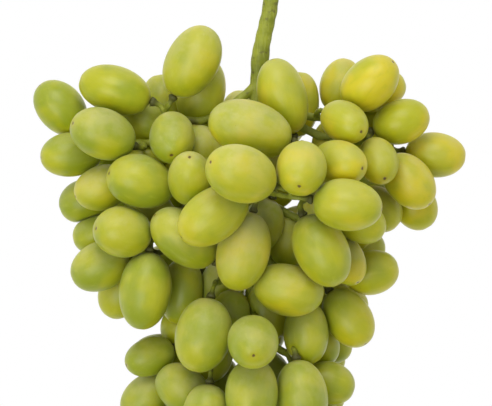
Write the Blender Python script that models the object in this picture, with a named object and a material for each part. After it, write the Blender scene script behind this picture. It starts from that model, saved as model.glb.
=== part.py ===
"""A bunch of white table grapes, lying on its back as it would on a table.

The stem is one solid: the cut end, the main axis inside the bunch, its side branches and the stalks.
Each berry that shows is a solid of its own. The berries inside and underneath touch each other in
clusters, and each cluster is one solid.

The layout is in millimetres: across is +X, along is +Y and points to the cut end of the stem, up is
+Z. The finished part is in metres, with its origin at the bottom centre of its box.
"""

import math

import bmesh
import bpy
import numpy as np
from mathutils import Vector

MM = 0.001
TABLE_CUTTER = (0.4, 0.5, 0.04)
GRAPE_COLOUR = (0.52, 0.56, 0.11, 1.0)
STEM_COLOUR = (0.20, 0.26, 0.05, 1.0)

CLEARANCE = 0.35  # between neighbouring solids
FLATTENING = 1.1  # how much the table flattens a berry that carries the bunch
PRESSED = 2.7  # how deep the berries of one cluster are pressed into each other

UNDER_SPACING = 19.5  # of the berries that the bunch lies on
UNDER_LENGTH, UNDER_WIDTH = 22.0, 17.4
UNDER_FIRST, UNDER_LAST = 27.0, -108.0  # where their first and last rows lie
UNDER_SHARE = 0.68  # how much of the bunch's half width they fill
UNDER_UP, UNDER_RISE = 8.0, -18.0
FAN_START, FAN_SPREAD = -30.0, 1.6  # the tips of these berries spread out from here, more sideways
RING_INSET = 11.0  # from the bunch's edge to the berries above the ends of each row
RING_UP, RING_RISE, RING_SHIFT, RING_SMALLER = 22.0, -8.0, -8.0, 1.0
RING_TURN = 5.0  # in degrees, towards the tip of the bunch
CLUSTERS = 13

BEADS = 7  # spheres that stand for one berry while the bunch settles
LOOSE_STEPS, TWIG_STEPS, LAST_STEPS = 160, 260, 160
LOOSE_HOMING, TWIG_HOMING = 0.06, 0.04  # how much of the way home a berry goes in each step
GIVE = 0.6  # how much of an overlap is put right in each step
TWIG_GIVE, TWIG_STEP = 0.5, 1.2
LONGEST_PULL = 3.0  # that draws linked berries together in one step
SINK = 0.3  # how fast a berry of the underside sinks onto the table
TUCKED_EASE, SHOWN_EASE = 0.4, 0.08  # how easily these berries slide sideways

RECEPTACLE_RADIUS, STALK_RADIUS, STALK_FOOT_RADIUS = 1.7, 0.85, 1.0
NECK_LENGTH = 1.6  # from a berry to where its stalk is slim
LEAST_LEAD, LEAD_SHARE = 3.5, 0.45  # how far a stalk leads straight out before it turns to its foot
BACK_BEND_COST = 9.0  # what it costs a stalk to bend right back, counted as millimetres of length
BRANCH_ROOT_RADIUS, BRANCH_TIP_RADIUS = 1.6, 1.15
AXIS_REACH = 2.5  # how far the berries keep from the middle of the main axis
AXIS_OUTSIDE, AXIS_INSIDE, AXIS_TIP = 76.0, 20.0, -88.0  # where it leaves, where stalks start, its end
STALK_SIDES, BRANCH_SIDES, AXIS_SIDES = 5, 7, 10

# The edges of the bunch as seen from above, from the tip to the shoulders.
EDGE_ALONG = (-116.0, -98.0, -78.0, -60.0, -45.0, -32.0, -12.0, 8.0, 28.0, 44.0)
LEFT_EDGE = (-12.0, -24.0, -36.0, -39.0, -30.0, -46.0, -54.0, -57.0, -56.0, -36.0)
RIGHT_EDGE = (14.0, 26.0, 34.0, 36.0, 37.0, 43.0, 49.0, 54.0, 52.0, 38.0)

# The main axis of the stem, from the cut end to the last berries: across, along, up and radius.
MAIN_AXIS = (
    (13.4, 99.0, 38.0, 3.9),
    (12.4, 95.0, 37.8, 3.3),
    (9.9, 84.0, 36.8, 2.8),
    (8.4, 68.0, 35.2, 2.6),
    (5.8, 56.5, 34.0, 2.7),
    (5.0, 51.0, 33.6, 3.1),
    (4.2, 44.0, 33.2, 2.5),
    (3.4, 30.0, 33.0, 2.4),
    (3.0, 12.0, 34.0, 2.2),
    (2.0, -12.0, 34.0, 2.0),
    (1.5, -38.0, 32.5, 1.8),
    (1.0, -62.0, 30.0, 1.5),
    (0.0, -88.0, 26.0, 1.2),
)

# Side branches: how far along the main axis each one starts, then the points that it runs through.
SIDE_BRANCHES = (
    (42, ((-13, 27, 39), (-29, 31, 42))),
    (34, ((-16, 22, 33), (-40, 21, 38))),
    (18, ((-12, 7, 38), (-27, 5, 42))),
    (2, ((-16, -9, 38), (-33, -13, 42))),
    (44, ((16, 30, 39), (31, 30, 41))),
    (38, ((22, 22, 36), (40, 22.5, 39), (51, 20.5, 38))),
    (26, ((9, 22, 43), (17, 19, 51))),
    (12, ((3, 6, 45), (5, 4, 54))),
    (14, ((14, 5, 42), (24, 2, 54))),
    (4, ((14, -4, 39), (28, -9, 42))),
    (-12, ((-3, -22, 41), (-10, -28, 45))),
    (-14, ((12, -24, 37), (26, -30, 37))),
    (-28, ((2, -34, 39), (3, -39, 42))),
    (-40, ((-7, -48, 34), (-17, -54, 36))),
    (-42, ((8, -50, 36), (15, -53, 41))),
    (-62, ((-5, -70, 32), (-11, -76, 33))),
    (-66, ((6, -74, 31), (11, -79, 31))),
    (30, ((-14, 20, 25), (-26, 16, 21))),
    (32, ((16, 20, 25), (30, 18, 22))),
    (0, ((-12, -10, 25), (-24, -16, 21))),
    (-4, ((14, -12, 25), (26, -16, 21))),
    (-44, ((2, -54, 22),)),
)

# Berries that show: across, along, up, length, width, heading and rise.
# The heading is where the blossom end points, seen from above: 0 is +X, 90 is towards the cut end.
# The rise is how steeply that end points up. Both are in degrees.
SHOWN = {
    "left_shoulder": (
        (-65.5, 33.5, 33, 22, 16.3, 132, 10),
        (-46, 39.5, 43, 26, 17, 163, 0),
        (-19, 49.5, 48, 27, 18.8, 62, 5),
        (-16.2, 39.4, 32, 25, 17.6, 80, 0),
        (-50, 24, 54, 24.5, 17.8, 160, 25),
        (-61.5, 17, 37, 22, 15.6, 185, 12),
        (-26, 22, 52, 22, 16.2, 270, 55),
    ),
    "left_side": (
        (-36.5, 7, 56, 25, 18.8, 165, 22),
        (-50.7, 5.6, 42, 20, 15.6, 200, 10),
        (-41.8, -9.5, 55, 21.5, 17.9, 172, 30),
        (-51.2, -22.4, 40, 21.5, 17.2, 205, 5),
        (-35.5, -30.5, 51, 27.5, 18.4, 263, 3),
    ),
    "crown": (
        (12.8, 37.2, 52, 27.5, 17.2, 106, 8),
        (17.8, 33, 34, 23.6, 15.6, 82, 0),
        (1.5, 25.7, 64, 30, 19.7, 163, 6),
    ),
    "right_shoulder": (
        (32.6, 41.4, 32, 19.5, 14.6, 75, 0),
        (43, 41.2, 50, 23.6, 17.4, 42, 22),
        (34.3, 27.6, 58, 20.4, 14.6, 330, 48),
        (54.4, 28.5, 42, 20.6, 15.4, 18, 5),
        (66.7, 17.1, 34, 21.6, 15.8, 355, 0),
        (46.2, 14.7, 52, 19, 14.2, 290, 45),
        (57, 7.7, 46, 22.4, 16.6, 312, 12),
        (59.4, -0.8, 30, 18.5, 15.4, 300, 0),
    ),
    "heart": (
        (-1.5, 10, 78, 27, 20, 160, 33),
        (-19.8, 8.8, 58, 22, 15.8, 90, 48),
        (19, 11.2, 72, 23, 17.4, 262, 57),
        (33, 14.7, 62, 21.6, 15.6, 345, 42),
        (34.8, 0.2, 72, 24.4, 18.3, 352, 8),
        (-10.8, -4.5, 68, 27.5, 18.2, 215, 12),
        (-22, -12.3, 54, 27, 18, 142, 14),
        (-1, -17, 58, 28, 18.4, 256, 6),
        (26, -16.6, 63, 27, 18.5, 297, 8),
        (34.6, -19.6, 48, 20, 14.4, 300, 20),
        (14.7, -30, 53, 25, 18, 347, 0),
    ),
    "right_side": (
        (40, -6.6, 50, 18.6, 15, 330, 0),
        (44, -24.5, 38, 19.6, 15.8, 12, 0),
        (35.2, -40.6, 40, 22.8, 16.6, 304, 15),
    ),
    "waist": (
        (-15, -46, 58, 26.5, 19.6, 258, 8),
        (2.6, -48.7, 60, 24, 17.7, 270, 68),
        (19, -46, 46, 23, 16, 272, 0),
        (-33.2, -55.4, 36, 18.6, 13.8, 200, 18),
        (-22.2, -65.4, 38, 22, 16.2, 140, 0),
        (-13.3, -73, 44, 21, 16.4, 262, 5),
        (0.9, -66.5, 52, 25, 18.4, 266, 8),
        (19.3, -67.5, 48, 26, 18.2, 278, 5),
        (29.4, -63, 33, 18.2, 15, 340, 0),
    ),
}

# Berries that peep out between the others, or that finish the tip.
TUCKED_IN = (
    (-30, 35, 28, 20, 15, 100, 0),
    (-36, 27.5, 33, 19, 15.6, 150, 0),
    (-35, 16, 30, 20, 15.5, 180, 0),
    (-56.4, 0.6, 28, 19, 15.4, 200, 0),
    (-52, -10.6, 31, 18.4, 15, 190, 0),
    (-43.6, -31.8, 31, 20, 15.4, 240, 0),
    (-2.2, 29.8, 27, 20, 15.4, 90, 0),
    (-12.5, 21, 40, 21, 15.6, 110, 0),
    (45, 38.4, 34, 20, 15, 20, 0),
    (25, 24, 34, 20, 15.4, 80, 0),
    (44, 29, 28, 20, 15.4, 60, 0),
    (49.5, 0, 38, 18.4, 15, 320, 0),
    (45.4, -13.2, 34, 18.6, 15, 340, 0),
    (12.6, -12.6, 40, 22, 15, 272, 0),
    (-24.5, 0, 37, 20, 15.6, 190, 0),
    (-34, -2.5, 34, 19, 15, 190, 0),
    (2, -3.5, 38, 20, 15, 250, 0),
    (20, -1.5, 46, 16, 12.4, 280, 0),
    (-23, -31.5, 34, 24, 16, 266, 0),
    (-9.5, -31, 30, 21, 15.5, 260, 0),
    (4, -35, 30, 21, 16, 280, 0),
    (-22.6, -45.5, 32, 20, 15.4, 240, 0),
    (-6, -41, 36, 20, 15.4, 265, 0),
    (-11.5, -56, 34, 21, 16, 262, 0),
    (26, -49, 32, 19, 14.6, 300, 0),
    (26.5, -49.5, 24, 17, 13.6, 300, 0),
    (-34, -67, 28, 20, 15, 220, 0),
    (9, -76, 34, 21, 16, 270, 0),
    (28, -79, 28, 20, 15.4, 320, 0),
    (-27, -82, 32, 21, 16, 240, 0),
    (-10, -88, 42, 23, 17, 258, 5),
    (7, -90, 41, 23, 17, 275, 5),
    (20, -92, 31, 21, 16, 300, 0),
    (-18, -100, 29, 21, 15.8, 245, 0),
    (-1, -105, 34, 21, 16.2, 265, 0),
    (13, -107, 26, 21, 15.8, 290, 0),
    (-7, -118, 22, 20, 15, 260, 0),
)


def heading_vector(heading, rise):
    """The unit vector along a heading, lifted by an angle. Both are in degrees."""
    turn, lift = math.radians(heading), math.radians(rise)
    return (math.cos(turn) * math.cos(lift), math.sin(turn) * math.cos(lift), math.sin(lift))


def axis_point(along):
    """The place on the main axis of the stem that is this far along."""
    stations = np.array(MAIN_AXIS)[::-1]
    return np.array([np.interp(along, stations[:, 1], stations[:, k]) for k in range(3)])


def underside_rows():
    """The berries that the bunch lies on, in staggered rows, with one more above each end of a row."""
    rows = []
    for number, along in enumerate(np.arange(UNDER_FIRST, UNDER_LAST, -0.9 * UNDER_SPACING)):
        left, right = np.interp(along, EDGE_ALONG, LEFT_EDGE), np.interp(along, EDGE_ALONG, RIGHT_EDGE)
        middle, half = (left + right) / 2, (right - left) / 2
        places = UNDER_SPACING * (np.arange(-3.0, 4.0) + 0.5 * (number % 2))
        for across in middle + places[np.abs(places) <= UNDER_SHARE * half]:
            heading = math.degrees(math.atan2(along - FAN_START, FAN_SPREAD * across + 0.1))
            rows.append((across, along, UNDER_UP, UNDER_LENGTH, UNDER_WIDTH, heading, UNDER_RISE))
        size = (UNDER_LENGTH - RING_SMALLER, UNDER_WIDTH - RING_SMALLER)
        for edge, heading in ((left + RING_INSET, 180 + RING_TURN), (right - RING_INSET, -RING_TURN)):
            rows.append((edge, along + RING_SHIFT, RING_UP, *size, heading, RING_RISE))
    return rows


class Layout:
    """Where all berries are, as arrays: middle, pointing direction, half length and half width."""

    def __init__(self):
        shown = [row for rows in SHOWN.values() for row in rows]
        table = np.array([*shown, *TUCKED_IN, *underside_rows()], float)
        self.names = [f"{part}_grape_{k + 1}" for part, rows in SHOWN.items() for k in range(len(rows))]
        self.shown, self.placed, self.count = len(shown), len(shown) + len(TUCKED_IN), len(table)
        self.middle, self.home = table[:, :3].copy(), table[:, :3].copy()
        self.half_length, self.half_width = table[:, 3] / 2, table[:, 4] / 2
        self.point = np.array([heading_vector(*row[5:]) for row in table])
        self.linked = np.zeros((self.count, self.count), bool)

    def beads(self):
        """A long berry is the envelope of spheres strung along its core line: their middles and radii."""
        squares = self.half_length**2 - self.half_width**2
        along = np.linspace(-1, 1, BEADS) * (squares / self.half_length)[:, None]
        radii = self.half_width[:, None] * np.sqrt(1 - along**2 / squares[:, None])
        return self.middle[:, None] + along[..., None] * self.point[:, None], radii

    def half_height(self):
        """Half the height of each tilted berry, from its half length, its half width and its tilt."""
        upright = self.point[:, 2] ** 2
        return np.sqrt(self.half_length**2 * upright + self.half_width**2 * (1 - upright))

    def stalk_place(self, beyond):
        """The points on the berries' own axes that lie this far outside their stalk ends."""
        return self.middle - self.point * (self.half_length + beyond)[:, None]


def gather_clusters(layout):
    """Sorts the hidden berries into clusters of neighbours, and links each one to its nearest kin."""
    hidden = np.arange(layout.shown, layout.count)
    middles = layout.home[hidden]
    seeds = [int(middles[:, 1].argmin())]
    while len(seeds) < CLUSTERS:
        seeds.append(int(np.linalg.norm(middles[:, None] - middles[seeds], axis=2).min(1).argmax()))
    centres = middles[seeds]
    for _ in range(12):
        nearest = np.linalg.norm(middles[:, None] - centres, axis=2).argmin(1)
        centres = np.array([middles[nearest == k].mean(0) for k in range(CLUSTERS)])
    clusters = []
    for k in range(CLUSTERS):
        members = hidden[nearest == k].tolist()
        inside, outside = members[:1], members[1:]
        while outside:
            spans = np.linalg.norm(layout.home[inside][:, None] - layout.home[outside], axis=2)
            a, b = np.unravel_index(spans.argmin(), spans.shape)
            layout.linked[inside[a], outside[b]] = layout.linked[outside[b], inside[a]] = True
            inside.append(outside.pop(b))
        clusters.append(inside)
    return clusters


def along_path(path, count):
    """This many points, evenly counted along the straight pieces of a path."""
    steps = np.linspace(0, len(path) - 1, count)
    return np.stack([np.interp(steps, range(len(path)), path[:, k]) for k in range(3)], 1)


def branch_path(start, through):
    """A side branch, from the main axis through its points, with its corners rounded off."""
    path = along_path(np.array([axis_point(start), *through], float), 6)
    path[1:-1] = (path[:-2] + 2 * path[1:-1] + path[2:]) / 4
    return path


def attachment_points():
    """Where stalks may join the stem: the outer part of each side branch, and the main axis in the bunch."""
    places = [along_path(branch_path(*branch), 15)[6:] for branch in SIDE_BRANCHES]
    places.append(np.array([axis_point(along) for along in np.arange(AXIS_INSIDE, AXIS_TIP, -4.0)]))
    return np.concatenate(places)


def stalk_feet(layout, attachments):
    """Where each berry's stalk joins the stem: near its end, and if possible ahead of it."""
    ends = layout.stalk_place(NECK_LENGTH)
    offsets = attachments - ends[:, None]
    spans = np.linalg.norm(offsets, axis=2)
    ahead = -(offsets * layout.point[:, None]).sum(2) / np.maximum(spans, 0.1)
    cost = spans + BACK_BEND_COST * (1 - ahead) + np.where(spans < LEAST_LEAD, 20, 0)
    return attachments[cost.argmin(1)]


def stalk_paths(layout, attachments):
    """Each stalk leads straight out of its berry and bends to its foot, as a quadratic Bezier curve."""
    start, foot = layout.stalk_place(NECK_LENGTH), stalk_feet(layout, attachments)
    span = np.linalg.norm(foot - start, axis=1)[:, None]
    lead = start - layout.point * np.maximum(LEAST_LEAD, LEAD_SHARE * span)
    t = np.linspace(0, 1, 5)[:, None, None]
    curve = (1 - t) ** 2 * start + 2 * t * (1 - t) * lead + t**2 * foot
    return np.concatenate([layout.stalk_place(CLEARANCE)[None], curve]).swapaxes(0, 1)


def axis_and_branch_beads():
    """Spheres along the main axis and the side branches: middles and radii."""
    branches = np.concatenate([along_path(branch_path(*branch), 12) for branch in SIDE_BRANCHES])
    axis = np.array([axis_point(along) for along in np.arange(AXIS_OUTSIDE, AXIS_TIP, -3.0)])
    radii = np.r_[np.full(len(branches), BRANCH_ROOT_RADIUS), np.full(len(axis), AXIS_REACH)]
    return np.concatenate([branches, axis]), radii


def neighbour_gaps(layout):
    """The gap between each two berries that are near or linked, and the way from the first to the second."""
    middles, radii = layout.beads()
    apart = np.linalg.norm(layout.middle[:, None] - layout.middle, axis=2)
    reach = layout.half_length[:, None] + layout.half_length + 3
    first, second = np.nonzero(np.triu((apart < reach) | layout.linked, 1))
    offsets = middles[second][:, None] - middles[first][:, :, None]
    gaps = np.linalg.norm(offsets, axis=3) - radii[first][:, :, None] - radii[second][:, None]
    gaps = gaps.reshape(len(first), -1)
    rows, closest = np.arange(len(first)), gaps.argmin(1)
    away = offsets.reshape(len(first), -1, 3)[rows, closest]
    away /= np.linalg.norm(away, axis=1, keepdims=True)
    return first, second, gaps[rows, closest], away


def twig_push(layout, stalked, attachments, fixed):
    """How each berry moves to clear the stem: away from the twig that is deepest in it."""
    middles, radii = layout.beads()
    paths = stalk_paths(layout, attachments)[stalked, 2:]
    stalks = paths.reshape(-1, 3)
    places = np.concatenate([stalks, fixed[0]])
    sizes = np.r_[np.full(len(stalks), STALK_FOOT_RADIUS), fixed[1]]
    owners = np.r_[np.repeat(stalked, paths.shape[1]), np.full(len(fixed[0]), -1)]
    offsets = middles[:, :, None] - places
    gaps = np.linalg.norm(offsets, axis=3) - radii[..., None] - sizes - CLEARANCE
    own = np.arange(layout.count)[:, None, None] == owners
    gaps = np.where(own, 1.0, gaps).reshape(layout.count, -1)
    rows, worst = np.arange(layout.count), gaps.argmin(1)
    away = offsets.reshape(layout.count, -1, 3)[rows, worst]
    away /= np.maximum(np.linalg.norm(away, axis=1, keepdims=True), 0.01)
    return away * np.clip(-gaps[rows, worst], 0, TWIG_STEP)[:, None]


def settle(layout, steps, homing, push=None):
    """Moves the berries until neighbours clear each other and none is below the table.

    A berry that shows slides up and down more easily than sideways, so seen from above it keeps its
    place. Linked berries are drawn together until they are pressed by PRESSED.
    """
    ease = np.ones((layout.count, 3))
    ease[: layout.placed, :2] = TUCKED_EASE
    ease[: layout.shown, :2] = SHOWN_EASE
    bottom = np.nonzero(layout.home[:, 2] == UNDER_UP)[0]
    for step in range(steps):
        first, second, gap, away = neighbour_gaps(layout)
        joined = layout.linked[first, second]
        short = np.where(joined, np.maximum(-PRESSED - gap, -LONGEST_PULL), np.maximum(CLEARANCE - gap, 0))
        share = (away**2 * (ease[first] + ease[second])).sum(1)
        shift = away * (GIVE * short / share)[:, None]
        move = np.zeros((layout.count, 3))
        np.add.at(move, second, shift * ease[second])
        np.add.at(move, first, -shift * ease[first])
        if push is not None:
            move += TWIG_GIVE * push(layout) * ease
        move += homing * (1 - step / steps) * (layout.home - layout.middle) / np.maximum(ease, TUCKED_EASE)
        layout.middle += move
        rest = layout.half_height() - FLATTENING
        layout.middle[:, 2] = np.maximum(layout.middle[:, 2], rest)
        layout.middle[bottom, 2] += SINK * (rest - layout.middle[:, 2])[bottom]


def new_material(name, colour, roughness):
    material = bpy.data.materials.new(name)
    material.use_nodes = True
    shader = material.node_tree.nodes["Principled BSDF"]
    shader.inputs["Base Color"].default_value = colour
    shader.inputs["Roughness"].default_value = roughness
    shader.inputs["Metallic"].default_value = 0.0
    return material


def new_object(name, mesh, material, parent, helper=False, collection=None):
    piece = bpy.data.objects.new(name, mesh)
    piece.parent = parent
    (collection or bpy.context.scene.collection).objects.link(piece)
    mesh.materials.append(material)
    mesh.shade_smooth()
    if helper:
        piece.hide_render = True
        piece.display_type = "WIRE"
    return piece


def new_collection(name):
    collection = bpy.data.collections.new(name)
    bpy.context.scene.collection.children.link(collection)
    return collection


def add_boolean(piece, operation, other):
    """Joins or cuts with an object, or with everything in a collection."""
    modifier = piece.modifiers.new(f"{operation.lower()} {other.name}", "BOOLEAN")
    modifier.operation = operation
    modifier.solver = "EXACT"
    if isinstance(other, bpy.types.Collection):
        modifier.operand_type = "COLLECTION"
        modifier.collection = other
    else:
        modifier.object = other


def add_berry(layout, berry, name, material, parent, helper=False, collection=None):
    """A long round berry, with its own +Z along its blossom end."""
    mesh = bpy.data.meshes.new(name)
    shape = bmesh.new()
    bmesh.ops.create_icosphere(shape, subdivisions=2, radius=1.0)
    half_width, half_length = layout.half_width[berry] * MM, layout.half_length[berry] * MM
    bmesh.ops.scale(shape, vec=(half_width, half_width, half_length), verts=shape.verts)
    shape.to_mesh(mesh)
    shape.free()
    piece = new_object(name, mesh, material, parent, helper, collection)
    piece.location = layout.middle[berry] * MM
    piece.rotation_mode = "QUATERNION"
    piece.rotation_quaternion = Vector((0, 0, 1)).rotation_difference(Vector(layout.point[berry]))
    return piece


def tube_mesh(name, path, radii, sides):
    """Rings carried along a path. Each ring lies across the path and is turned as little as it can be."""
    forward = np.gradient(path, axis=0)
    forward /= np.linalg.norm(forward, axis=1, keepdims=True)
    turns = np.arange(sides) * 2 * math.pi / sides
    side = np.cross(forward[0], (0.31, 0.17, 0.93))
    rings = []
    for centre, ahead, radius in zip(path, forward, radii):
        side = side - ahead * side.dot(ahead)
        side /= np.linalg.norm(side)
        spokes = np.cos(turns)[:, None] * side + np.sin(turns)[:, None] * np.cross(ahead, side)
        rings.append(centre + radius * spokes)
    corners = np.arange(len(path) * sides).reshape(-1, sides).tolist()
    faces = [corners[0][::-1], corners[-1]]
    for low, high in zip(corners[:-1], corners[1:]):
        faces += [(low[k - 1], low[k], high[k], high[k - 1]) for k in range(sides)]
    mesh = bpy.data.meshes.new(name)
    mesh.from_pydata((np.concatenate(rings) * MM).tolist(), [], faces)
    return mesh


class Stem:
    """The stem's tubes: the main axis, the side branches, and a stalk for each berry or cluster."""

    def __init__(self, layout, stalked, attachments):
        axis = np.array(MAIN_AXIS)
        self.tubes = [("main_axis", axis[:, :3], axis[:, 3], AXIS_SIDES, -1)]
        for number, branch in enumerate(SIDE_BRANCHES, 1):
            path = branch_path(*branch)
            radii = np.linspace(BRANCH_ROOT_RADIUS, BRANCH_TIP_RADIUS, len(path))
            self.tubes.append((f"side_branch_{number}", path, radii, BRANCH_SIDES, -1))
        paths = stalk_paths(layout, attachments)
        radii = np.r_[RECEPTACLE_RADIUS, np.linspace(STALK_RADIUS, STALK_FOOT_RADIUS, paths.shape[1] - 1)]
        for berry in stalked:
            self.tubes.append((f"stalk_{berry + 1}", paths[berry], radii, STALK_SIDES, berry))

    def build(self, material, parent):
        """The main axis, with the other tubes joined to it."""
        name, path, radii, sides, _ = self.tubes[0]
        stem = new_object("stem", tube_mesh(name, path, radii, sides), material, parent)
        twigs = new_collection("stem_twigs")
        for name, path, radii, sides, _ in self.tubes[1:]:
            new_object(name, tube_mesh(name, path, radii, sides), material, parent, True, twigs)
        add_boolean(stem, "UNION", twigs)
        return stem

    def grooves(self, layout, material, parent):
        """For each berry, fatter copies of the tubes that pass through it, to cut it with."""
        middles, radii = layout.beads()
        cutters = new_collection("stem_grooves")
        found = {}
        for name, path, widths, sides, owner in self.tubes:
            line = along_path(path, 8 * len(path))
            width = np.interp(np.linspace(0, len(path) - 1, len(line)), range(len(path)), widths)
            gaps = np.linalg.norm(middles[:, :, None] - line, axis=3) - radii[..., None] - width
            touched = gaps.reshape(layout.count, -1).min(1) < CLEARANCE
            if owner >= 0:
                touched[owner] = False
            if not touched.any():
                continue
            mesh = tube_mesh(f"groove_{name}", path, widths + CLEARANCE, sides)
            groove = new_object(mesh.name, mesh, material, parent, True, cutters)
            for berry in np.nonzero(touched)[0].tolist():
                found.setdefault(berry, []).append(groove)
        return found


def add_table_cutter(material, parent):
    """A block under the table top, which flattens the berries that rest on it."""
    mesh = bpy.data.meshes.new("table_flat")
    shape = bmesh.new()
    bmesh.ops.create_cube(shape, size=1.0)
    bmesh.ops.scale(shape, vec=TABLE_CUTTER, verts=shape.verts)
    bmesh.ops.translate(shape, vec=(0, 0, -TABLE_CUTTER[2] / 2), verts=shape.verts)
    shape.to_mesh(mesh)
    shape.free()
    return new_object("table_flat", mesh, material, parent, helper=True)


def recentre(parent, pieces):
    """Puts the origin under the middle of the box around all pieces."""
    bpy.context.view_layer.update()
    corners = np.array([piece.matrix_world @ vertex.co for piece in pieces for vertex in piece.data.vertices])
    middle = (corners.min(0) + corners.max(0)) / 2
    parent.location = (-middle[0], -middle[1], 0)


def main():
    for old in list(bpy.data.objects):
        bpy.data.objects.remove(old)
    layout = Layout()
    clusters = gather_clusters(layout)
    attachments = attachment_points()
    fixed = axis_and_branch_beads()
    settle(layout, LOOSE_STEPS, LOOSE_HOMING)

    reach = np.linalg.norm(stalk_feet(layout, attachments) - layout.stalk_place(NECK_LENGTH), axis=1)
    nearest_members = [min(cluster, key=reach.__getitem__) for cluster in clusters]
    stalked = np.array([*range(layout.shown), *nearest_members])
    settle(layout, TWIG_STEPS, TWIG_HOMING, lambda now: twig_push(now, stalked, attachments, fixed))
    settle(layout, LAST_STEPS, 0.0)

    skin = new_material("grape_skin", GRAPE_COLOUR, 0.35)
    bark = new_material("green_stem", STEM_COLOUR, 0.6)
    bunch = bpy.data.objects.new("bunch", None)
    bpy.context.scene.collection.objects.link(bunch)
    table = add_table_cutter(bark, bunch)
    stem = Stem(layout, stalked, attachments)
    grooves = stem.grooves(layout, bark, bunch)
    pieces = [stem.build(bark, bunch)]

    lowest = layout.middle[:, 2] - layout.half_height()
    solids = [(name, [berry]) for berry, name in enumerate(layout.names)]
    solids += [(f"hidden_cluster_{number}", cluster) for number, cluster in enumerate(clusters, 1)]
    for name, members in solids:
        piece = add_berry(layout, members[0], name, skin, bunch)
        pieces.append(piece)
        if len(members) > 1:
            kin = new_collection(f"{name}_berries")
            for number, berry in enumerate(members[1:], 2):
                pieces.append(add_berry(layout, berry, f"{name}_berry_{number}", skin, bunch, True, kin))
            add_boolean(piece, "UNION", kin)
        if lowest[members].min() < 0:
            add_boolean(piece, "DIFFERENCE", table)
        for groove in {id(g): g for berry in members for g in grooves.get(berry, [])}.values():
            add_boolean(piece, "DIFFERENCE", groove)
    recentre(bunch, pieces)
    print(f"{layout.count} berries, {len(clusters)} clusters of hidden ones")


main()
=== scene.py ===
# %% [markdown]
# # A bunch of white table grapes
#
# A bunch of grapes is one stem that branches again and again, and about a hundred berries on short
# stalks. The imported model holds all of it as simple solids: each berry is a faceted long ball, and the
# stem is a tree of straight tubes. Nothing moves here. This lesson reads the place and the form of every
# berry back from its solid, grows a fine berry there, and gives skin, scars, bloom and bark their look.

import math

import bmesh
import bpy
import numpy as np
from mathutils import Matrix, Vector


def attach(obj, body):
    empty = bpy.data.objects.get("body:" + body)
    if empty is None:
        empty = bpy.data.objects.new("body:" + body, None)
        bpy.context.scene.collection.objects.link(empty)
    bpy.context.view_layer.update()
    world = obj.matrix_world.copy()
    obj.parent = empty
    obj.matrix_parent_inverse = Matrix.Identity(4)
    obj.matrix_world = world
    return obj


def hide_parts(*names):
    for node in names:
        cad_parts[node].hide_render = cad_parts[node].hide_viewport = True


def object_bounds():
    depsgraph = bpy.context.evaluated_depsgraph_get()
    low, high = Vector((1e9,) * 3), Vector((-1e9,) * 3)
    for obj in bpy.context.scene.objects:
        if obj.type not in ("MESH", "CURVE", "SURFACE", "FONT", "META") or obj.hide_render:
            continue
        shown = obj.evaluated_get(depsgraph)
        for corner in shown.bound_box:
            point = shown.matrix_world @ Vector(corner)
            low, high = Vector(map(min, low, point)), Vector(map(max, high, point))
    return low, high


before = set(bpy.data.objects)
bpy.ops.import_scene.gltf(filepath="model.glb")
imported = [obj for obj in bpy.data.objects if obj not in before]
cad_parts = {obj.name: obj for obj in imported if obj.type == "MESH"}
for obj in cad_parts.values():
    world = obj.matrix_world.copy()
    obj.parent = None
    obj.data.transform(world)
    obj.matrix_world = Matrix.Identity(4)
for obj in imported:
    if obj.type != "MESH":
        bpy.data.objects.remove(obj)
cad_low, cad_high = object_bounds()
random = np.random.default_rng(7)
MM = 0.001
print(f"the frame holds {len(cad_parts)} solids, {(cad_high[1] - cad_low[1]) * 1000:.0f} mm long")

# %% [markdown]
# ## The picture: camera, table and light
#
# The bunch lies on a lit white table, as fruit does for a catalogue, and the camera hangs far above it,
# looking straight down. From that far the lens sees it almost without perspective. The table glows a
# little, so that light also comes up between the berries. That is what makes a bunch look full of
# juice: the edges of the berries light up from behind.

# %% The camera
VIEW_WIDTH = 0.1722  # what the picture spans, at the middle height of the bunch
VIEW_HEIGHT_ABOVE_TABLE = 0.050
CAMERA_DISTANCE = 2.2
CUT_END_TO_MIDDLE = 0.09995  # from the cut end of the stem to the middle of the picture
VIEW_SIDE_SHIFT = -0.00129  # the camera hangs a little to the left of the bunch's middle
SENSOR_WIDTH = 36.0  # in mm, as on a full-size camera

camera_data = bpy.data.cameras.new("above")
camera_data.sensor_width = SENSOR_WIDTH
camera_data.lens = SENSOR_WIDTH * CAMERA_DISTANCE / VIEW_WIDTH
camera_data.clip_end = 20.0
camera = bpy.data.objects.new("above", camera_data)
camera_height = VIEW_HEIGHT_ABOVE_TABLE + CAMERA_DISTANCE
camera.location = (VIEW_SIDE_SHIFT, cad_high[1] - CUT_END_TO_MIDDLE, camera_height)
bpy.context.scene.collection.objects.link(camera)
bpy.context.scene.camera = camera
print(f"the camera looks down from {camera.location.z:.2f} m with a {camera_data.lens:.0f} mm lens")


# %% The table, the sky and the lamps
TABLE_HALF = 3.0
TABLE_GLOW = 1.0
SKY_GLOW = 0.42
WHITE = (1.0, 1.0, 1.0)


def glowing(name, colour, strength):
    """A surface that gives off an even light."""
    material = bpy.data.materials.new(name)
    material.use_nodes = True
    nodes, links = material.node_tree.nodes, material.node_tree.links
    nodes.remove(nodes["Principled BSDF"])
    light = nodes.new("ShaderNodeEmission")
    light.inputs["Color"].default_value = (*colour, 1)
    light.inputs["Strength"].default_value = strength
    links.new(light.outputs[0], nodes["Material Output"].inputs["Surface"])
    return material


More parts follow.
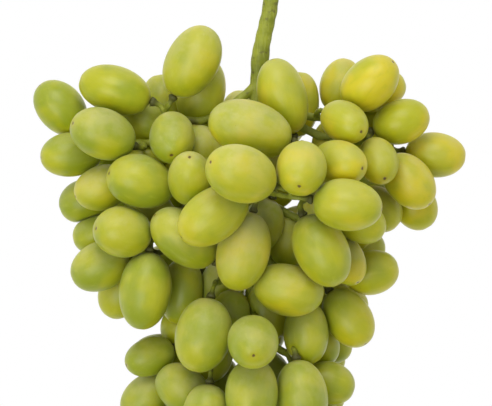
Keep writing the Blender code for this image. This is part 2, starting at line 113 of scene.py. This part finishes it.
def soft_box(name, place, size, power, colour):
    """A square lamp that faces the middle of the bunch."""
    lamp_data = bpy.data.lights.new(name, "AREA")
    lamp_data.size = size
    lamp_data.energy = power
    lamp_data.color = colour
    lamp = bpy.data.objects.new(name, lamp_data)
    lamp.location = place
    towards = Vector((0, 0, VIEW_HEIGHT_ABOVE_TABLE)) - lamp.location
    lamp.rotation_euler = towards.to_track_quat("-Z", "Y").to_euler()
    bpy.context.scene.collection.objects.link(lamp)


table_mesh = bpy.data.meshes.new("table")
table_corners = TABLE_HALF * np.array([(-1, -1, 0), (1, -1, 0), (1, 1, 0), (-1, 1, 0)])
table_mesh.from_pydata(table_corners.tolist(), [], [(0, 1, 2, 3)])
table = bpy.data.objects.new("table", table_mesh)
table_mesh.materials.append(glowing("lit_table", WHITE, TABLE_GLOW))
bpy.context.scene.collection.objects.link(table)

world = bpy.data.worlds.new("studio")
world.use_nodes = True
sky = world.node_tree.nodes["Background"]
sky.inputs["Color"].default_value = (*WHITE, 1)
sky.inputs["Strength"].default_value = SKY_GLOW
bpy.context.scene.world = world
bpy.context.scene.view_settings.view_transform = "Standard"

soft_box("key", (-0.04, 0.42, 0.50), 0.36, 2.0, (1.0, 0.985, 0.95))
soft_box("fill", (-0.5, -0.35, 1.4), 0.9, 10.0, (0.98, 0.99, 1.0))
print("one lit table, one white sky and two soft lamps")

# %% [markdown]
# ## Reading the berries back
#
# A berry's solid is a ball with eighty facets, stretched along one axis. Its corners lie exactly on a
# spheroid, so the spheroid can be found again from them. Two things are in the way. A solid may hold
# several berries that grew into each other, and the table or a twig may have cut corners away.
#
# The first is solved by a step inwards: from the middle of a facet, square to it and half a berry's
# width long, it ends close to the middle of its own berry. So facets whose steps end together belong
# together. The second is solved by fitting again and again, each time trusting corners more that lie
# on the surface that was found.

# %% Facets of a solid
HALF_WIDTH = 8.3  # of a typical berry, in mm. All lengths from here on are in mm
SAME_BERRY = 5.5  # how far apart the steps of one berry's facets may end
LEAST_FACETS = 32  # fewer than this isn't a berry but the edge of a cut
LEAST_AREA = 0.02  # in square mm, of a facet that is wide enough to have a sure direction
MIDDLE_ROUNDS = 4


def facets(node):
    """The triangles of a CAD node, as an array of triangles by corners by coordinates."""
    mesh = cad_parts[node].data
    places = np.empty(len(mesh.vertices) * 3, np.float32)
    mesh.vertices.foreach_get("co", places)
    mesh.calc_loop_triangles()
    corners = np.empty(len(mesh.loop_triangles) * 3, np.int32)
    mesh.loop_triangles.foreach_get("vertices", corners)
    return places.reshape(-1, 3)[corners.reshape(-1, 3)].astype(float) / MM


def facets_by_berry(triangles):
    """Sorts triangles by berry. The most crowded end of a step starts a berry, until no crowd is left."""
    square = np.cross(triangles[:, 1] - triangles[:, 0], triangles[:, 2] - triangles[:, 0])
    area = np.linalg.norm(square, axis=1)
    wide = area > LEAST_AREA
    triangles, square, area = triangles[wide], square[wide], area[wide]
    ends = triangles.mean(1) - HALF_WIDTH * square / area[:, None]
    free = np.ones(len(ends), bool)
    berries = []
    while free.sum() >= LEAST_FACETS:
        spans = np.linalg.norm(ends[:, None] - ends, axis=2)
        crowd = ((spans < SAME_BERRY) & free) @ area * free
        middle = ends[crowd.argmax()]
        for _ in range(MIDDLE_ROUNDS):
            near = free & (np.linalg.norm(ends - middle, axis=1) < SAME_BERRY)
            middle = np.average(ends[near], axis=0, weights=area[near])
        if near.sum() < LEAST_FACETS:
            break
        berries.append(triangles[near])
        free &= ~near
    return berries


all_facets = {node: [facets(node)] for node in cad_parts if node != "stem"}
for node in all_facets:
    if node.startswith("hidden_cluster"):
        all_facets[node] = facets_by_berry(all_facets[node][0])
print(f"{sum(map(len, all_facets.values()))} berries in {len(all_facets)} solids")


# %% The spheroid of each berry
FIT_SCALE = 10  # about a berry's half length, which keeps the numbers of the fit near one
TOLERANCES = np.geomspace(0.3, 0.0003, 30)


def cornered(triangles):
    """The separate corners of some triangles."""
    return np.unique(np.round(triangles.reshape(-1, 3), 3), axis=0)


def fitted_spheroid(corners):
    """The middle, axis, half length and half width of the spheroid through most of the corners.

    A quadric is a sum of the six products of two coordinates and the three coordinates themselves,
    each times an unknown number, which makes 1 everywhere on the surface. Least squares gives the nine
    numbers. Corners that miss the surface then count less, and the fit is repeated. The middle is where
    the slope of the sum is zero, and the axes are the eigenvectors of the part with the products.
    """
    start = (corners.min(0) + corners.max(0)) / 2
    x, y, z = (corners - start).T / FIT_SCALE
    terms = np.stack([x * x, y * y, z * z, 2 * x * y, 2 * x * z, 2 * y * z, x, y, z], 1)
    trust = np.ones(len(corners))
    for tolerance in TOLERANCES:
        numbers = np.linalg.lstsq(terms * trust[:, None], trust, rcond=None)[0]
        miss = terms @ numbers - 1
        trust = 1 / (1 + (miss / tolerance) ** 2)
    a, b, c, d, e, f, *slope = numbers
    products = np.array([(a, d, e), (d, b, f), (e, f, c)])
    middle = -np.linalg.solve(products, slope) / 2
    sizes, axes = np.linalg.eigh(products / (1 + middle @ products @ middle))
    halves = FIT_SCALE / np.sqrt(np.maximum(sizes, 1e-6))
    return start + FIT_SCALE * middle, axes[:, 0], halves[0], halves[1:].mean()


stem_corners = cornered(facets("stem"))
names, middles, axes, lengths, widths = [], [], [], [], []
for node, groups in sorted(all_facets.items()):
    for group in groups:
        middle, axis, half_length, half_width = fitted_spheroid(cornered(group))
        ends = middle + np.outer((-1, 1), axis) * half_length
        to_stem = np.linalg.norm(ends[:, None] - stem_corners, axis=2).min(1)
        names.append(node)
        middles.append(middle)
        axes.append(axis if to_stem[0] < to_stem[1] else -axis)
        lengths.append(half_length)
        widths.append(half_width)
middles, axes, lengths, widths = map(np.array, (middles, axes, lengths, widths))
print(f"half widths {widths.min():.1f} to {widths.max():.1f}")
print(f"half lengths {lengths.min():.1f} to {lengths.max():.1f}")

# %% [markdown]
# ## The fine stem
#
# A green grape stem is matt and slightly fibrous. It swells where branches leave it, and each stalk
# flares into a small collar under its berry. The solid has the right course and thickness, but its
# tubes have five to ten flat sides and meet in hard corners. A voxel remesh melts them into one skin,
# and smoothing rounds its edges but also thins it. So numpy then moves the skin out along its normals:
# a little everywhere, most at the collars, and in slow waves, because no green stem is quite even.

# %% Remesh the stem
VOXEL = 0.46
SMOOTHING_ROUNDS = 6
ROUNDING = 0.5  # how far each round draws a corner to its neighbours' middle


def mesh_arrays(mesh):
    """The places of a mesh's corners and their normals, as arrays, in mm."""
    places, normals = np.empty((2, len(mesh.vertices) * 3), np.float32)
    mesh.vertices.foreach_get("co", places)
    mesh.vertices.foreach_get("normal", normals)
    return places.reshape(-1, 3) / MM, normals.reshape(-1, 3)


def melted_copy(node, name):
    """A copy of a CAD node with one even skin: its corners merged, remeshed and smoothed."""
    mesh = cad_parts[node].data.copy()
    mesh.name = name
    shape = bmesh.new()
    shape.from_mesh(mesh)
    bmesh.ops.remove_doubles(shape, verts=shape.verts, dist=1e-6)
    shape.to_mesh(mesh)
    shape.free()
    piece = bpy.data.objects.new(name, mesh)
    bpy.context.scene.collection.objects.link(piece)
    remesh = piece.modifiers.new("even skin", "REMESH")
    remesh.mode = "VOXEL"
    remesh.voxel_size = VOXEL * MM
    smooth = piece.modifiers.new("rounding", "SMOOTH")
    smooth.factor = ROUNDING
    smooth.iterations = SMOOTHING_ROUNDS
    graph = bpy.context.evaluated_depsgraph_get()
    finished = bpy.data.meshes.new_from_object(piece.evaluated_get(graph))
    piece.modifiers.clear()
    piece.data = finished
    finished.name = name
    finished.shade_smooth()
    return piece


stem = melted_copy("stem", "stem_bark")
stem_places, stem_normals = mesh_arrays(stem.data)
print(f"the stem's skin has {len(stem.data.polygons)} faces")

# %% Swell the stem
FULLER, COLLAR_FULLER, COLLAR_REACH = 0.20, 0.42, 2.0
WAVE_HEIGHT = 0.16
FIRST_WAVE, SECOND_WAVE = (0.9, 0.45, 0.3), (-0.4, 0.6, 1.1)  # in radians for each mm
FAR = 99.0  # a first distance, longer than any between the bark and its nearest collar
CUT_FADE = 4  # no swelling at the cut end, and all of it this far below
BERRY_GAP = 0.35  # between a collar and its berry, in the simple solids

to_collar = np.full(len(stem_places), FAR)
for end in middles - axes * (lengths[:, None] + BERRY_GAP):
    to_collar = np.minimum(to_collar, np.linalg.norm(stem_places - end, axis=1))
waves = np.sin(stem_places @ FIRST_WAVE) * np.sin(stem_places @ SECOND_WAVE + 2)
swelling = FULLER + COLLAR_FULLER * np.exp(-((to_collar / COLLAR_REACH) ** 2)) + WAVE_HEIGHT * waves
cut_depth = cad_high[1] / MM - stem_places[:, 1]
swelling *= np.clip(cut_depth / CUT_FADE, 0, 1)
stem_places = stem_places + swelling[:, None] * stem_normals
stem.data.vertices.foreach_set("co", (stem_places * MM).astype(np.float32).ravel())
stem.data.update()
print(f"the stem is up to {swelling.max():.2f} mm fuller, at its collars")

# %% [markdown]
# ## The form of a berry
#
# A grape is nearly a spheroid, but not quite: its ends are a bit blunt, one end is thicker, its belly
# bends, and three or four soft lobes run round it. At the stalk it has a dimple, with a small rise in
# the middle that meets the collar. At the other end the flower has left a tiny dent.
#
# The surface is a grid of rings from the tip to the stalk. All rings are worked out at once. They lie
# closer together near both ends, where the details are.

# %% A grid of rings
SHOWN_GRID = (54, 80)  # rings and points round each ring
HIDDEN_GRID = (32, 48)
ENDS_DENSER = 0.3


def ring_angles(rings, around):
    """The angle from the tip and the turn of each grid point, with one point for each pole.

    Even angles lose a share of the sine of twice the angle, which draws the rings to the poles.
    """
    even = np.linspace(0, np.pi, rings + 1)[1:-1]
    polar = even - ENDS_DENSER * np.sin(2 * even)
    turn = np.arange(around) * 2 * np.pi / around
    polar = np.concatenate([[0.0], np.repeat(polar, around), [np.pi]])
    turn = np.concatenate([[0.0], np.tile(turn, rings - 1), [0.0]])
    return polar, turn


def ring_faces(rings, around):
    """Quads between neighbouring rings, and a fan of triangles at each pole."""
    ring = 1 + np.arange((rings - 1) * around).reshape(rings - 1, around)
    turned = np.roll(ring, -1, axis=1)
    quads = np.stack([ring[:-1], ring[1:], turned[1:], turned[:-1]], 2).reshape(-1, 4)
    tip = np.stack([np.zeros_like(ring[0]), ring[0], turned[0]], 1)
    stalk = np.stack([np.full_like(ring[0], ring.max() + 1), turned[-1], ring[-1]], 1)
    return quads, np.concatenate([tip, stalk])


# %% The plain berry
BLUNTNESS = 0.95
LOBES = (0.012, 0.008)
BELLY_BEND = 0.25
DIMPLE_DEPTH, DIMPLE_WIDTH = 0.5, 2.6
COLLAR_RISE, COLLAR_WIDTH = 0.85, 1.3
SCAR_DEPTH, SCAR_WIDTH = 0.22, 0.8
EGG_SHAPE = 0.025  # how much thicker one end may be


def sideways(axis):
    """Two directions square to an axis and to each other, from cross products with a helper direction."""
    first = np.cross(axis, (0.36, 0.48, 0.8) if abs(axis[2]) < 0.7 else (1.0, 0.1, 0.0))
    first /= np.linalg.norm(first)
    return first, np.cross(axis, first)


def plain_berry(polar, turn, half_length, half_width):
    """Grid points in the berry's own space: x and y across, z along, towards the tip.

    Along is the half length times the cosine of the angle. Across is the half width times its sine,
    raised to a power below one, times one plus an egg shape and two rounds of lobes. At both ends a
    bell curve of the distance across pulls the skin in, and a narrower one lifts it to the collar.
    """
    egg, bend = EGG_SHAPE * random.standard_normal(), BELLY_BEND * random.standard_normal()
    first, second, side = random.uniform(0, 2 * np.pi, 3)
    up, out = np.cos(polar), np.sin(polar)
    lobes = LOBES[0] * np.sin(2 * turn + first) + LOBES[1] * np.sin(3 * turn + second + 2 * up)
    across = half_width * out**BLUNTNESS * (1 + egg * up + lobes * out)
    dimple = DIMPLE_DEPTH * np.exp(-((across / DIMPLE_WIDTH) ** 2))
    rise = COLLAR_RISE * np.exp(-((across / COLLAR_WIDTH) ** 2))
    scar = SCAR_DEPTH * np.exp(-((across / SCAR_WIDTH) ** 2))
    along = half_length * up + np.where(up > 0, -scar, dimple - rise)
    x = across * np.cos(turn) + bend * out**2 * np.cos(side)
    y = across * np.sin(turn) + bend * out**2 * np.sin(side)
    return np.stack([x, y, along], 1)


# %% [markdown]
# ## Berries that press on each other
#
# In a full bunch berries flatten where they touch. Each pair of neighbours gets one plane between
# them, square to the shortest line from one to the other, and neither crosses it. A hard cut would
# leave a sharp edge, so the skin eases into the plane: a point's height over the plane is swapped for
# half of the height less the root of its square and a small square, which is a smooth way to say
# "never above zero". The table flattens the lowest berries in the same way.

# %% Planes between neighbours
BALLS = 9  # spheres strung along a berry's axis, which together fill its spheroid
EASE = 0.5
PLANE_GAP = 0.03
NEAR = 0.9  # berries with a wider gap don't need a plane


def neighbour_planes():
    """For each berry, a list of planes that it may not cross: a place and the direction outwards."""
    squares = lengths**2 - widths**2
    steps = np.linspace(-1, 1, BALLS) * (squares / lengths)[:, None]
    radii = widths[:, None] * np.sqrt(1 - steps**2 / squares[:, None])
    balls = middles[:, None] + steps[..., None] * axes[:, None]
    planes = [[] for _ in middles]
    for berry, mine in enumerate(balls):
        offset = balls[:, :, None] - mine
        span = np.linalg.norm(offset, axis=3)
        gap = (span - radii[:, :, None] - radii[berry]).reshape(len(balls), -1)
        closest = gap.argmin(1)
        for other in np.nonzero(gap.min(1) < NEAR)[0]:
            if other == berry:
                continue
            far, near = np.unravel_index(closest[other], (BALLS, BALLS))
            outwards = offset[other, far, near] / span[other, far, near]
            half_gap = gap[other, closest[other]] / 2
            planes[berry].append((mine[near] + outwards * (radii[berry, near] + half_gap), outwards))
    return planes


def eased_below(height):
    """How far points at this height over a plane have to sink, so that they smoothly stay under it."""
    return (height + np.sqrt(height**2 + EASE**2)) / 2


planes = neighbour_planes()
print(f"{sum(map(len, planes)) // 2} pairs of berries touch or nearly touch")


# %% Room for the twigs
TWIG_GAP = 0.05
DENT_STEP = 0.3
DENT_STEPS = 14
TWIG_REACH = 1.5  # how far outside a berry's half length the bark still counts
TWIG_THICKEST = 3  # a point farther than this from all bark isn't in a twig
BOX_MARGIN = 0.5
AXIS_SHARE = 0.6  # the part of the axis that dented skin moves towards


def dented(points, berry):
    """Moves skin that lies in a twig inwards, towards the berry's axis, step by step until it is out.

    A point is in a twig if the nearest point of the stem's skin has its normal pointing away from it.
    """
    close = np.linalg.norm(stem_places - middles[berry], axis=1) < lengths[berry] + TWIG_REACH
    off_stalk = ((stem_places - middles[berry]) @ axes[berry]) > -lengths[berry]
    bark, square = stem_places[close & off_stalk], stem_normals[close & off_stalk]
    if not len(bark):
        return points
    low, high = bark.min(0) - BOX_MARGIN, bark.max(0) + BOX_MARGIN
    for _ in range(DENT_STEPS):
        boxed = np.nonzero(((points > low) & (points < high)).all(1))[0]
        if not len(boxed):
            break
        spans = ((points[boxed, None] - bark) ** 2).sum(2)
        nearest = spans.argmin(1)
        over = ((points[boxed] - bark[nearest]) * square[nearest]).sum(1)
        inside = boxed[(over < TWIG_GAP) & (spans.min(1) < TWIG_THICKEST**2)]
        if not len(inside):
            break
        offset = points[inside] - middles[berry]
        reach = AXIS_SHARE * lengths[berry]
        along = np.clip(offset @ axes[berry], -reach, reach)
        inwards = along[:, None] * axes[berry] - offset
        points[inside] += DENT_STEP * inwards / np.linalg.norm(inwards, axis=1, keepdims=True)
    return points


# %% All berries
def fine_berry(berry, grid):
    """The grid of one berry in place, and the values that its skin's colour needs at each point."""
    polar, turn = ring_angles(*grid)
    own = plain_berry(polar, turn, lengths[berry], widths[berry])
    first, second = sideways(axes[berry])
    points = middles[berry] + own @ np.array([first, second, axes[berry]])
    for place, outwards in planes[berry]:
        height = (points - place) @ outwards + PLANE_GAP
        points -= np.outer(eased_below(height), outwards)
    points = dented(points, berry)
    points[:, 2] += eased_below(-points[:, 2])
    return points, own


shown = [not name.startswith("hidden") for name in names]
grids = [SHOWN_GRID if seen else HIDDEN_GRID for seen in shown]
skins = [fine_berry(berry, grid) for berry, grid in enumerate(grids)]
print(f"{len(skins)} fine berries, {sum(len(points) for points, _ in skins)} points in all")


# %% Meshes for the berries
def skin_normals(points, quads):
    """The direction outwards at each grid point: the sum of its faces' crossed diagonals."""
    first, second, third, fourth = (points[corner] for corner in quads.T)
    crossed = np.cross(third - first, fourth - second)
    normals = np.zeros_like(points)
    for corner in quads.T:
        np.add.at(normals, corner, crossed)
    return normals / np.maximum(np.linalg.norm(normals, axis=1, keepdims=True), 1e-9)


def made_mesh(name, points, quads, triangles):
    """A closed mesh from arrays, in metres."""
    mesh = bpy.data.meshes.new(name)
    corners = np.concatenate([quads.ravel(), triangles.ravel()]).astype(np.int32)
    sizes = np.r_[np.full(len(quads), 4), np.full(len(triangles), 3)]
    mesh.vertices.add(len(points))
    mesh.vertices.foreach_set("co", (points * MM).astype(np.float32).ravel())
    mesh.loops.add(len(corners))
    mesh.loops.foreach_set("vertex_index", corners)
    mesh.polygons.add(len(sizes))
    mesh.polygons.foreach_set("loop_start", np.r_[0, np.cumsum(sizes)[:-1]].astype(np.int32))
    mesh.update(calc_edges=True)
    mesh.validate()
    mesh.shade_smooth()
    return mesh


def add_values(mesh, name, values):
    """Stores one number or one vector at each point, for the material to read."""
    kind, field = ("FLOAT", "value") if values.ndim == 1 else ("FLOAT_VECTOR", "vector")
    attribute = mesh.attributes.new(name, kind, "POINT")
    attribute.data.foreach_set(field, values.astype(np.float32).ravel())


# %% Values for the skin's colour
RIPE_MIDDLE = 0.36
RIPE_RIGHT, RIPE_TOP = 0.28, 0.34  # golden on the right shoulder and near the stalk, greener at the tip
RIPE_CHANCE, RIPE_TIP = 0.10, 0.05
DUST_MIDDLE, DUST_SIDE, DUST_CHANCE, LEAST_DUST = 0.70, 0.35, 0.20, 0.15
# the bloom's share grows on skin that faces up and towards the stalk, where the key lamp stands: this part
# is painted light
DUST_EVEN, PAINTED_LIGHT_UP, PAINTED_LIGHT_TOWARDS_STALK = 0.14, 0.36, 0.72
PATTERN_SHIFT = 400  # each berry reads its patterns somewhere else
half_across = cad_high[0] / MM
half_along = cad_high[1] / MM


def skin_values(berry, points, own, normals):
    """What the colour needs: ripeness, bloom with painted light, the distance from each end and the place
    on the berry.

    Ripeness grows in a straight line to the right and to the stalk, and a little towards the tip.
    Bloom is one random number for the berry times a straight-line function of the skin's direction,
    largest where the skin faces up and towards the stalk, where the key lamp shines: real bloom with
    painted light on the lit side.
    """
    x, y = middles[berry, 0] / half_across, middles[berry, 1] / half_along
    ripe = RIPE_MIDDLE + RIPE_RIGHT * x + RIPE_TOP * y
    ripe += RIPE_CHANCE * random.standard_normal() + RIPE_TIP * own[:, 2] / lengths[berry]
    dusty = DUST_MIDDLE - DUST_SIDE * abs(x) + DUST_CHANCE * random.standard_normal()
    faces_key_light = DUST_EVEN + PAINTED_LIGHT_UP * normals[:, 2] + PAINTED_LIGHT_TOWARDS_STALK * normals[:, 1]
    ends = np.array([(0, 0, lengths[berry] - SCAR_DEPTH), (0, 0, -lengths[berry])])
    from_tip, from_stalk = np.linalg.norm(own - ends[:, None], axis=2)
    place = own + random.uniform(-PATTERN_SHIFT, PATTERN_SHIFT, 3)
    return {
        "ripeness": ripe,
        "bloom_and_painted_light": np.clip(dusty, LEAST_DUST, 1) * np.clip(faces_key_light, 0, 1),
        "from_tip": from_tip,
        "from_stalk": from_stalk,
        "berry_place": place,
    }


# %% Joined pieces, one for each solid
def joined_piece(node):
    """All berries of one CAD node as one mesh object, with their values."""
    points, quads, triangles, values, count = [], [], [], [], 0
    for berry in [number for number, name in enumerate(names) if name == node]:
        berry_points, own = skins[berry]
        berry_quads, berry_triangles = ring_faces(*grids[berry])
        normals = skin_normals(berry_points, berry_quads)
        points.append(berry_points)
        quads.append(berry_quads + count)
        triangles.append(berry_triangles + count)
        values.append(skin_values(berry, berry_points, own, normals))
        count += len(berry_points)
    mesh = made_mesh(node + "_skin", *map(np.concatenate, (points, quads, triangles)))
    for name in values[0]:
        add_values(mesh, name, np.concatenate([value[name] for value in values]))
    piece = bpy.data.objects.new(node + "_skin", mesh)
    bpy.context.scene.collection.objects.link(piece)
    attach(piece, "root")
    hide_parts(node)
    return piece


berry_pieces = [joined_piece(node) for node in sorted(set(names))]
print(f"{len(berry_pieces)} pieces with berries")

# %% [markdown]
# ## The skin
#
# White grape skin is clear: what colours it is the flesh. Light goes in, is scattered, and loses its
# blue on the way, so lit sides are pale yellow-green and shaded sides deep olive. That is subsurface
# scattering with a long reach for red and green and a short one for blue. On top lies bloom, a thin
# dusty wax in patches, and its pale colour is painted on thickest where the skin faces up and towards
# the stalk, as painted light from the key lamp. Faint veins run from end to end, a brown dot marks the
# old flower, and round the stalk the skin is a little brown.


# %% A helper that makes a material's nodes
class Finish:
    """A material that is put together node by node. Each call returns the socket that it makes."""

    def __init__(self, name):
        self.material = bpy.data.materials.new(name)
        self.material.use_nodes = True
        self.tree = self.material.node_tree
        self.shader = self.tree.nodes["Principled BSDF"]

    def put(self, socket, value):
        """Links a socket to another socket, or sets it to a number, a vector or a colour."""
        if isinstance(value, bpy.types.NodeSocket):
            self.tree.links.new(value, socket)
        elif socket.type == "RGBA" and len(value) == 3:
            socket.default_value = (*value, 1)
        else:
            socket.default_value = value

    def set(self, node, **inputs):
        """Puts values on a node's sockets by name, with _ for a space."""
        for name, value in inputs.items():
            self.put(node.inputs[name.replace("_", " ")], value)

    def put_in_order(self, sockets, values):
        """Puts values on sockets, one after the other."""
        for socket, value in zip(sockets, values):
            self.put(socket, value)

    def values(self, name, vector=False):
        """The numbers or vectors that add_values stored under this name."""
        node = self.tree.nodes.new("ShaderNodeAttribute")
        node.attribute_name = name
        return node.outputs["Vector" if vector else "Fac"]

    def object_place(self):
        """The place on the piece, in metres."""
        return self.tree.nodes.new("ShaderNodeTexCoord").outputs["Object"]

    def stretched(self, place, scale):
        """A place with each coordinate times its own number. A small one makes a pattern long."""
        node = self.tree.nodes.new("ShaderNodeMapping")
        self.set(node, Vector=place, Scale=scale)
        return node.outputs["Vector"]

    def noise(self, place, scale, detail=2.0, roughness=0.5):
        """Cloudy numbers around a half."""
        node = self.tree.nodes.new("ShaderNodeTexNoise")
        self.set(node, Vector=place, Scale=scale, Detail=detail, Roughness=roughness)
        return node.outputs["Fac"]

    def dots(self, place, scale):
        """The distance from the nearest of many scattered dots, and a random colour for each."""
        node = self.tree.nodes.new("ShaderNodeTexVoronoi")
        self.set(node, Vector=place, Scale=scale)
        return node.outputs["Distance"], node.outputs["Color"]

    def math(self, kind, first, second):
        """A sum or a product of two numbers."""
        node = self.tree.nodes.new("ShaderNodeMath")
        node.operation = kind
        self.put_in_order(node.inputs, (first, second))
        return node.outputs[0]

    def span(self, value, low, high, to_low=0.0, to_high=1.0):
        """Maps low to high smoothly onto another range, and holds it there."""
        node = self.tree.nodes.new("ShaderNodeMapRange")
        node.interpolation_type = "SMOOTHSTEP"
        self.put_in_order(node.inputs, (value, low, high, to_low, to_high))
        return node.outputs[0]

    def blend(self, share, first, second):
        """A colour between two colours."""
        node = self.tree.nodes.new("ShaderNodeMix")
        node.data_type = "RGBA"
        # a Mix node keeps its colours' sockets after those for numbers and vectors
        self.put_in_order((node.inputs[0], *node.inputs[6:8]), (share, first, second))
        return node.outputs[2]

    def bump(self, height, strength, distance):
        """Small relief on the surface, in metres."""
        node = self.tree.nodes.new("ShaderNodeBump")
        self.set(node, Height=height, Strength=strength, Distance=distance)
        self.set(self.shader, Normal=node.outputs["Normal"])


# %% Grape skin
GREEN_FLESH = (0.31, 0.37, 0.012)
MIDDLE_FLESH = (0.46, 0.47, 0.012)
GOLDEN_FLESH = (0.64, 0.55, 0.014)
PALE_VEIN = (0.60, 0.60, 0.07)
DEEP_VEIN = (0.30, 0.35, 0.006)
# the pale colour of the bloom, laid on most where the skin faces the key lamp: partly wax, partly painted
# light
PALE_BLOOM_AND_PAINTED_LIGHT = (0.59, 0.56, 0.27)
BLOOM_AND_PAINTED_LIGHT_COVER = 0.74
SCAR_HALO = (0.48, 0.40, 0.02)
SCAR_BROWN = (0.12, 0.065, 0.018)
STALK_BROWN = (0.26, 0.20, 0.03)
SPECK_BROWN = (0.20, 0.14, 0.02)


def grape_skin():
    """Flesh in three colours by ripeness, with veins, under bloom with painted light on the lit side, with
    brown at both ends and specks.
    """
    finish = Finish("grape_skin")
    place = finish.values("berry_place", vector=True)
    ripeness = finish.values("ripeness")
    from_tip, from_stalk = finish.values("from_tip"), finish.values("from_stalk")

    patches = finish.noise(place, 0.075, 2.0)
    ripe = finish.math("ADD", ripeness, finish.span(patches, 0.3, 0.7, -0.26, 0.30))
    flesh = finish.blend(finish.span(ripe, 0.0, 0.5), GREEN_FLESH, MIDDLE_FLESH)
    flesh = finish.blend(finish.span(ripe, 0.5, 1.0), flesh, GOLDEN_FLESH)

    veins = finish.noise(finish.stretched(place, (1.0, 1.0, 0.22)), 0.55, 4.0, 0.6)
    flesh = finish.blend(finish.span(veins, 0.52, 0.74, 0.0, 0.22), flesh, PALE_VEIN)
    flesh = finish.blend(finish.span(veins, 0.48, 0.28, 0.0, 0.20), flesh, DEEP_VEIN)

    wax = finish.span(finish.noise(place, 0.16, 4.0, 0.62), 0.30, 0.68)
    # bloom times its wax patches, thickest on the side that faces the key lamp: wax and painted light
    # together
    bloom_and_painted_light = finish.math("MULTIPLY", finish.values("bloom_and_painted_light"), finish.span(wax, 0.0, 1.0, 0.45, 1.0))
    colour = finish.blend(finish.math("MULTIPLY", bloom_and_painted_light, BLOOM_AND_PAINTED_LIGHT_COVER), flesh, PALE_BLOOM_AND_PAINTED_LIGHT)

    ragged = finish.span(finish.noise(place, 1.1, 1.0), 0.3, 0.7, -0.12, 0.12)
    scar_edge = finish.math("ADD", from_tip, ragged)
    stalk_edge = finish.math("ADD", from_stalk, ragged)
    colour = finish.blend(finish.span(scar_edge, 2.6, 0.7, 0.0, 0.30), colour, SCAR_HALO)
    colour = finish.blend(finish.span(scar_edge, 0.80, 0.32, 0.0, 0.92), colour, SCAR_BROWN)
    colour = finish.blend(finish.span(stalk_edge, 3.4, 1.2, 0.0, 0.6), colour, STALK_BROWN)

    near, which = finish.dots(place, 0.20)
    speck = finish.math("MULTIPLY", finish.span(near, 0.052, 0.030), finish.span(which, 0.74, 0.78))
    colour = finish.blend(finish.math("MULTIPLY", speck, 0.55), colour, SPECK_BROWN)

    pores = finish.noise(place, 3.0, 2.0)
    finish.set(
        finish.shader,
        Base_Color=colour,
        Roughness=finish.span(bloom_and_painted_light, 0.0, 0.8, 0.34, 0.56),
        IOR=1.38,
        Sheen_Weight=0.06,
        Sheen_Roughness=0.45,
        Sheen_Tint=(0.95, 0.95, 0.75),
        Subsurface_Weight=0.85,
        Subsurface_Radius=(1.0, 0.85, 0.22),
        Subsurface_Scale=0.0042,
    )
    finish.bump(finish.math("ADD", pores, finish.math("MULTIPLY", veins, 2.0)), 0.10, 0.0002)
    return finish.material


skin = grape_skin()
for piece in berry_pieces:
    piece.data.materials.append(skin)
print(f"{skin.name} is on {len(berry_pieces)} pieces")

# %% [markdown]
# ## The bark
#
# The stem is green and matt, with fine pale fibres along it, small brown marks and dark, woody collars.
# The cut end shows pale wood. The fibres are noise that is stretched along the main axis, which is the
# way most of the stem runs.


# %% Green stem
DEEP_GREEN = (0.17, 0.20, 0.006)
LIGHT_GREEN = (0.31, 0.34, 0.022)
FIBRE_GREEN = (0.40, 0.44, 0.11)
BARK_BROWN = (0.09, 0.07, 0.02)
COLLAR_BROWN = (0.050, 0.048, 0.012)
CUT_WOOD = (0.50, 0.48, 0.26)
COLLAR_START, COLLAR_FADE = 3.4, 2.2  # how far from a collar's end its brown starts, and how fast it comes
CUT_THICKNESS = 0.9
CUT_FACING = 0.6  # skin that points along the stem more than this is the cut


def green_stem():
    """Green patches with fibres and small brown marks, brown collars and a pale cut."""
    finish = Finish("green_stem")
    place = finish.object_place()
    fibres = finish.noise(finish.stretched(place, (1.0, 0.10, 1.0)), 1600.0, 3.0, 0.6)
    patches = finish.noise(place, 120.0, 4.0, 0.6)
    marks = finish.span(finish.noise(place, 420.0, 3.0), 0.60, 0.72, 0.0, 0.7)
    colour = finish.blend(finish.span(patches, 0.3, 0.7), DEEP_GREEN, LIGHT_GREEN)
    colour = finish.blend(finish.span(fibres, 0.5, 0.75, 0.0, 0.5), colour, FIBRE_GREEN)
    colour = finish.blend(marks, colour, BARK_BROWN)
    colour = finish.blend(finish.math("MULTIPLY", finish.values("collar"), 0.85), colour, COLLAR_BROWN)
    colour = finish.blend(finish.values("cut"), colour, CUT_WOOD)
    finish.set(
        finish.shader,
        Base_Color=colour,
        Roughness=finish.span(fibres, 0.3, 0.7, 0.50, 0.68),
        Subsurface_Weight=0.15,
        Subsurface_Radius=(0.8, 1.0, 0.2),
        Subsurface_Scale=0.001,
    )
    finish.bump(finish.math("ADD", fibres, finish.math("MULTIPLY", patches, 0.6)), 0.5, 0.0003)
    return finish.material


cut_depth = cad_high[1] / MM - stem_places[:, 1]  # of the swollen skin
cut_share = np.clip(1 - cut_depth / CUT_THICKNESS, 0, 1) * (stem_normals[:, 1] > CUT_FACING)
add_values(stem.data, "collar", np.clip((COLLAR_START - to_collar) / COLLAR_FADE, 0, 1))
add_values(stem.data, "cut", cut_share)
stem.data.materials.clear()
stem.data.materials.append(green_stem())
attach(stem, "root")
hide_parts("stem")
print("the stem has its bark")
